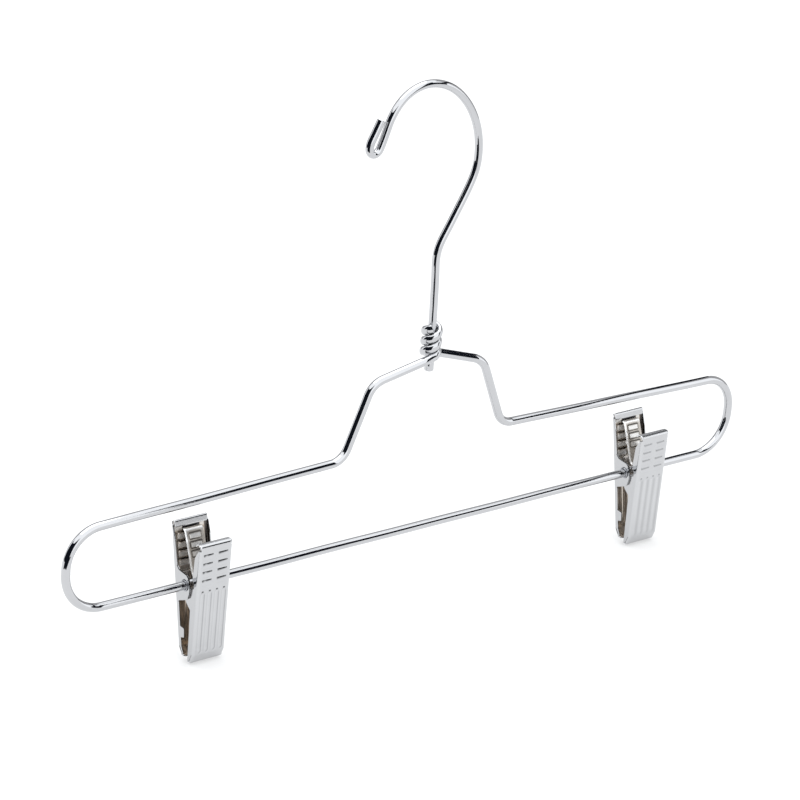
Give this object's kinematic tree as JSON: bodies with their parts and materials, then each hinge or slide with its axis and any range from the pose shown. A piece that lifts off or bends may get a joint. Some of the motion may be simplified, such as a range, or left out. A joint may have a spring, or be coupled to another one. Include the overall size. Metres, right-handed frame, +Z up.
{
  "type": "clip hanger",
  "caption": "Chromed wire clothes hanger with a swivelling hook, a looped lower bar and sprung sheet-metal clips that slide, swing and open to grip a waistband.",
  "frame": {"origin": "on the swivel axis, on the inside of the hook's crown where the rail it hangs on sits", "axes": "+Z up along the swivel axis, +X along the lower bar, -Y the side the clips' front jaws face"},
  "size_m": [0.355, 0.0191, 0.2275],
  "materials": {
    "hook_chrome": "bright chrome plate on drawn wire",
    "frame_chrome": "bright chrome plate on drawn wire",
    "jaw_chrome": "chrome plate on pressed sheet, slightly satin outside, warm nickel inside",
    "spring_nickel": "nickel-plated spring strip",
    "tube_chrome": "plated tube with rolled rims"
  },
  "bodies": {
    "hook": {"hook_wire": "hook_chrome"},
    "frame": {"frame_wire": "frame_chrome"},
    "left_carrier": {"left_pivot_tube": "tube_chrome"},
    "left_rear": {"left_rear_jaw": "jaw_chrome", "left_leaf_spring": "spring_nickel"},
    "left_front": {"left_front_jaw": "jaw_chrome"},
    "right_carrier": {"right_pivot_tube": "tube_chrome"},
    "right_rear": {"right_rear_jaw": "jaw_chrome", "right_leaf_spring": "spring_nickel"},
    "right_front": {"right_front_jaw": "jaw_chrome"}
  },
  "joints": [
    {"name": "hook_swivel", "type": "hinge", "parent": "hook", "child": "frame", "pos_m": [0, 0, -0.105], "axis": [0, 0, 1], "continuous": true},
    {"name": "left_clip_slide", "type": "slide", "parent": "frame", "child": "left_carrier", "axis": [1, 0, 0], "range_m": [-0.038, 0.089]},
    {"name": "left_clip_swing", "type": "hinge", "parent": "left_carrier", "child": "left_rear", "pos_m": [-0.1095, 0, -0.188], "axis": [1, 0, 0], "range_deg": [-150, 150]},
    {"name": "left_jaw_open", "type": "hinge", "parent": "left_rear", "child": "left_front", "pos_m": [-0.1095, 0, -0.188], "axis": [-1, 0, 0], "range_deg": [0, 25], "stiffness_Nm_per_rad": 0.4, "springref_deg": -25.78, "deforming": ["left_leaf_spring"]},
    {"name": "right_clip_slide", "type": "slide", "parent": "frame", "child": "right_carrier", "axis": [1, 0, 0], "range_m": [-0.1045, 0.0225]},
    {"name": "right_clip_swing", "type": "hinge", "parent": "right_carrier", "child": "right_rear", "pos_m": [0.125, 0, -0.188], "axis": [1, 0, 0], "range_deg": [-150, 150]},
    {"name": "right_jaw_open", "type": "hinge", "parent": "right_rear", "child": "right_front", "pos_m": [0.125, 0, -0.188], "axis": [-1, 0, 0], "range_deg": [0, 25], "stiffness_Nm_per_rad": 0.4, "springref_deg": -25.78, "deforming": ["right_leaf_spring"]}
  ]
}
